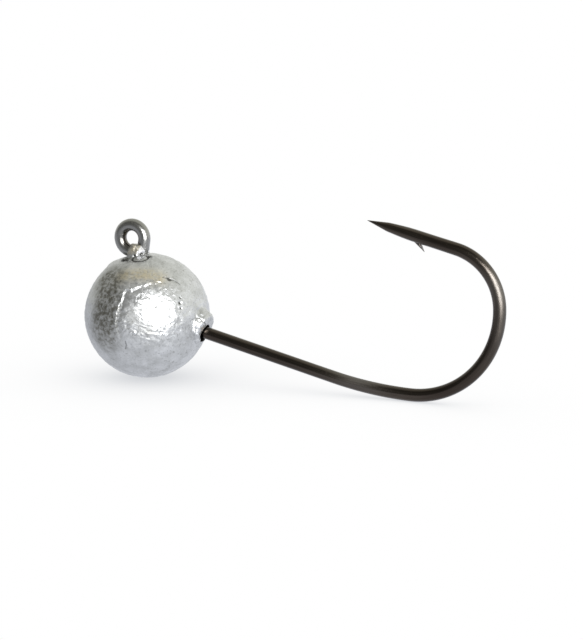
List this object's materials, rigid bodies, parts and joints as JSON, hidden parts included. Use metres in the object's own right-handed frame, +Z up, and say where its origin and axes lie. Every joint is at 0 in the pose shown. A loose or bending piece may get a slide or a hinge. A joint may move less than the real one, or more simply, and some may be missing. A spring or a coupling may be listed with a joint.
{
  "type": "fishing jig head",
  "caption": "Round cast-lead jig head on a forward-eyed, wide-gap barbed hook, lying at rest on ball and bend.",
  "frame": {"origin": "middle of the bottom face of the bounding box, on the table that the jig rests on", "axes": "+Z up as the jig rests on its ball and the lowest point of its bend; +X from the ball to the bend; the whole hook lies in the plane Y = 0"},
  "size_m": [0.0446, 0.0126, 0.0175],
  "materials": {
    "hook_wire": "glossy black nickel plate over round steel wire",
    "cast_lead": "raw cast lead, bright silver-grey with cold-flow wrinkles, pits and a dull oxide bloom"
  },
  "bodies": {
    "root": {"jig_hook": "hook_wire", "lead_head": "cast_lead"}
  },
  "joints": []
}
